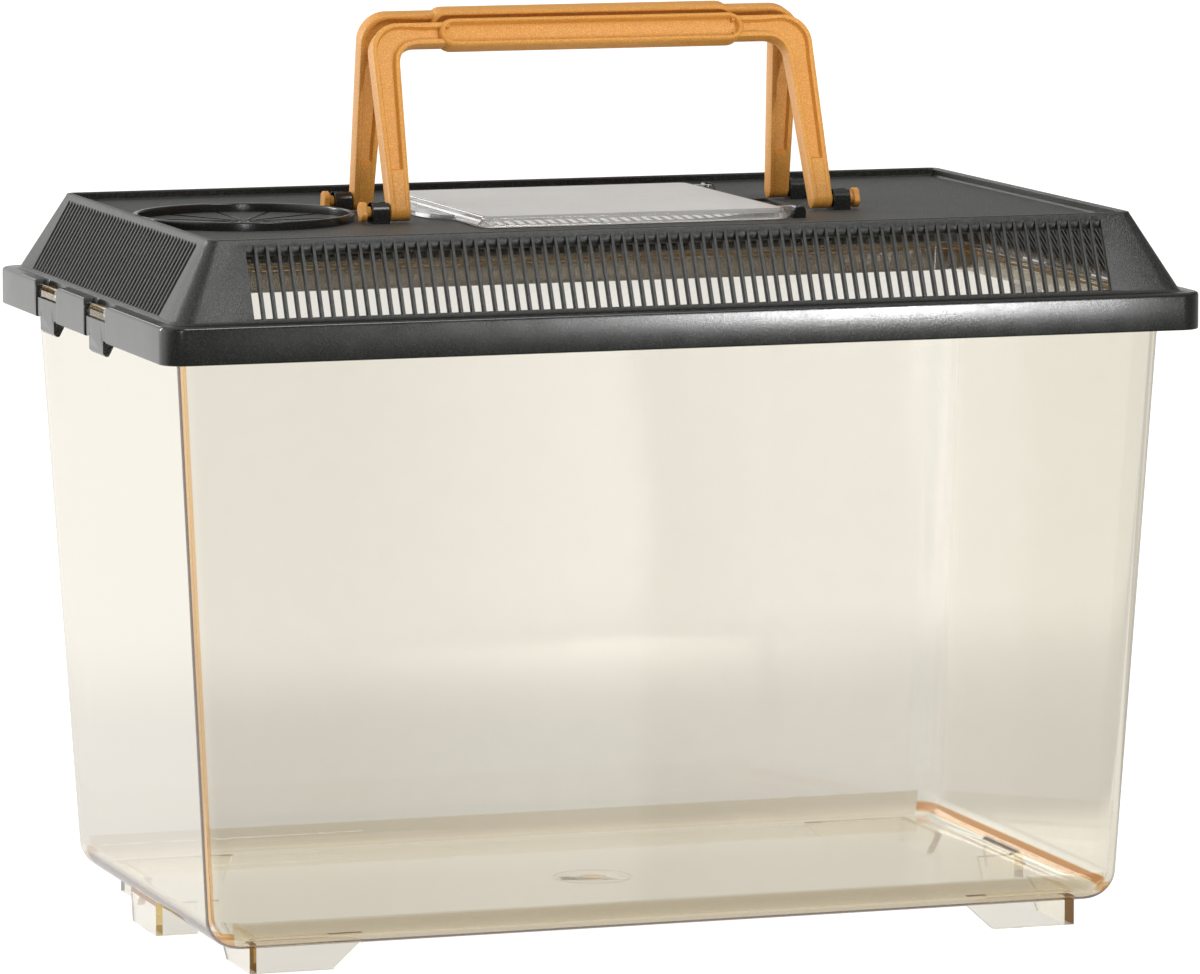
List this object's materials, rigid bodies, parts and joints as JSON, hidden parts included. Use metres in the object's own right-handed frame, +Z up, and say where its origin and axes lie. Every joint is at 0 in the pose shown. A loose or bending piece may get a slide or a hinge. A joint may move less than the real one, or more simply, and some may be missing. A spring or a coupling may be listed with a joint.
{
  "type": "plastic pet keeper",
  "caption": "Clear tapered tank with corner feet, a slotted clip-on lid with end latches and a round feeding collar, a clear hinged hatch, and bail handles with stadium grips.",
  "frame": {"origin": "on the ground plane under the feet, at the middle of the overall length and depth", "axes": "+X along the long side to the right as seen from the front, +Y from the front to the rear, +Z up"},
  "size_m": [0.372, 0.23, 0.3207],
  "materials": {
    "clear_tank": "clear, faintly smoky moulded plastic",
    "lid_black": "black moulded plastic, leather-grained on the deck",
    "clear_hatch": "clear moulded plastic, frosted on top",
    "handle_amber": "opaque amber-orange moulded plastic"
  },
  "bodies": {
    "tank": {"tank": "clear_tank"},
    "lid": {"lid_rim": "lid_black", "lid_top": "lid_black", "front_grille": "lid_black", "rear_grille": "lid_black", "left_grille": "lid_black", "right_grille": "lid_black"},
    "hatch": {"hatch": "clear_hatch"},
    "front_handle": {"front_handle": "handle_amber"},
    "rear_handle": {"rear_handle": "handle_amber"},
    "left_front_latch": {"left_front_latch": "lid_black"},
    "left_rear_latch": {"left_rear_latch": "lid_black"},
    "right_front_latch": {"right_front_latch": "lid_black"},
    "right_rear_latch": {"right_rear_latch": "lid_black"}
  },
  "joints": [
    {"name": "lid_lift", "type": "slide", "parent": "tank", "child": "lid", "axis": [0, 0, 1], "range_m": [0, 0.12]},
    {"name": "hatch_hinge", "type": "hinge", "parent": "lid", "child": "hatch", "pos_m": [0.06, 0, 0.2507], "axis": [0, 1, 0], "range_deg": [0, 25]},
    {"name": "front_handle_pivot", "type": "hinge", "parent": "lid", "child": "front_handle", "pos_m": [0, -0.023, 0.2525], "axis": [1, 0, 0], "range_deg": [0, 110]},
    {"name": "rear_handle_pivot", "type": "hinge", "parent": "lid", "child": "rear_handle", "pos_m": [0, 0.023, 0.2525], "axis": [-1, 0, 0], "range_deg": [0, 98]},
    {"name": "left_front_latch_flex", "type": "hinge", "parent": "lid", "child": "left_front_latch", "pos_m": [-0.1846, -0.023, 0.2177], "axis": [0, 1, 0], "range_deg": [0, 10], "stiffness_Nm_per_rad": 0.6},
    {"name": "left_rear_latch_flex", "type": "hinge", "parent": "lid", "child": "left_rear_latch", "pos_m": [-0.1846, 0.045, 0.2177], "axis": [0, 1, 0], "range_deg": [0, 10], "stiffness_Nm_per_rad": 0.6},
    {"name": "right_front_latch_flex", "type": "hinge", "parent": "lid", "child": "right_front_latch", "pos_m": [0.1846, -0.023, 0.2177], "axis": [0, -1, 0], "range_deg": [0, 10], "stiffness_Nm_per_rad": 0.6},
    {"name": "right_rear_latch_flex", "type": "hinge", "parent": "lid", "child": "right_rear_latch", "pos_m": [0.1846, 0.045, 0.2177], "axis": [0, -1, 0], "range_deg": [0, 10], "stiffness_Nm_per_rad": 0.6}
  ]
}
